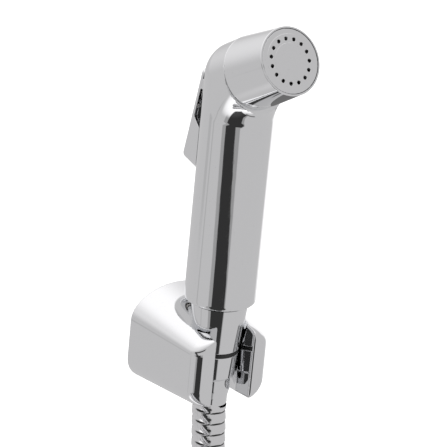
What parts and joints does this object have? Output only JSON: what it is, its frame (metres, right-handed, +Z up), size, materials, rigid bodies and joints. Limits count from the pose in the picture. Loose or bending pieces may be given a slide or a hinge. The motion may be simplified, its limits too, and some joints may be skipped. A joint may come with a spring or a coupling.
{
  "type": "handheld bidet shower",
  "caption": "Chromed handheld bidet shower with a trigger lever, standing in its forked wall holder, with a coiled metal hose and union nuts.",
  "frame": {"origin": "centre of the holder's flat back face, on the wall", "axes": "+Y into the wall, -Y out of it toward the user, +Z up along the upright handset, +X to the user's right"},
  "size_m": [0.176, 0.0783, 0.366],
  "materials": {
    "chrome": "mirror-bright chrome plating",
    "brass": "machined, unplated",
    "steel": "stainless, turned",
    "black_plastic": "matt black",
    "white_plastic": "moulded, natural white",
    "rubber": "moulded nitrile"
  },
  "bodies": {
    "holder_and_handset": {"wall_holder": "chrome", "handset_body": "chrome", "head_sleeve": "chrome", "spray_plate": "chrome", "plate_seal": "rubber", "flow_diffuser": "white_plastic", "head_bush": "white_plastic", "head_seal": "rubber", "lever_pin": "steel", "valve_block": "brass", "valve_cap": "brass", "valve_gland": "brass", "stem_seal": "rubber", "valve_spring": "steel", "riser_tube": "brass", "head_tube": "brass", "inlet_spigot": "brass", "inlet_filter": "steel", "cone_nut": "chrome", "hose_washer": "rubber", "swivel_ring": "black_plastic"},
    "trigger": {"trigger_lever": "chrome"},
    "plunger": {"valve_stem": "steel", "valve_washer": "rubber"},
    "hose_side": {"hose_tail": "brass", "swivel_cone": "chrome", "hose_ferrule": "chrome", "hose": "chrome", "hose_coil": "chrome", "hose_end": "chrome", "coil_tie": "black_plastic", "supply_ferrule": "chrome", "supply_tail": "brass", "supply_washer": "rubber"},
    "supply_nut": {"supply_nut": "chrome"}
  },
  "joints": [
    {"name": "trigger_press", "type": "hinge", "parent": "holder_and_handset", "child": "trigger", "pos_m": [0, -0.0195, 0.1158], "axis": [-1, 0, 0], "range_deg": [0, 7], "stiffness_Nm_per_rad": 0.5, "springref_deg": -14.32},
    {"name": "plunger_slide", "type": "slide", "parent": "holder_and_handset", "child": "plunger", "axis": [0, -1, 0], "range_m": [0, 0.0018], "deforming": ["valve_spring"]},
    {"name": "hose_swivel", "type": "hinge", "parent": "holder_and_handset", "child": "hose_side", "pos_m": [0, -0.0307, 0], "axis": [0, 0, 1], "continuous": true},
    {"name": "supply_nut_turn", "type": "hinge", "parent": "hose_side", "child": "supply_nut", "pos_m": [-0.1202, -0.06445, -0.2015], "axis": [-1, 0, 0], "continuous": true}
  ],
  "couplings": [
    {"joint": "plunger_slide", "follows": "trigger_press", "m_per_rad": 0.0133}
  ]
}
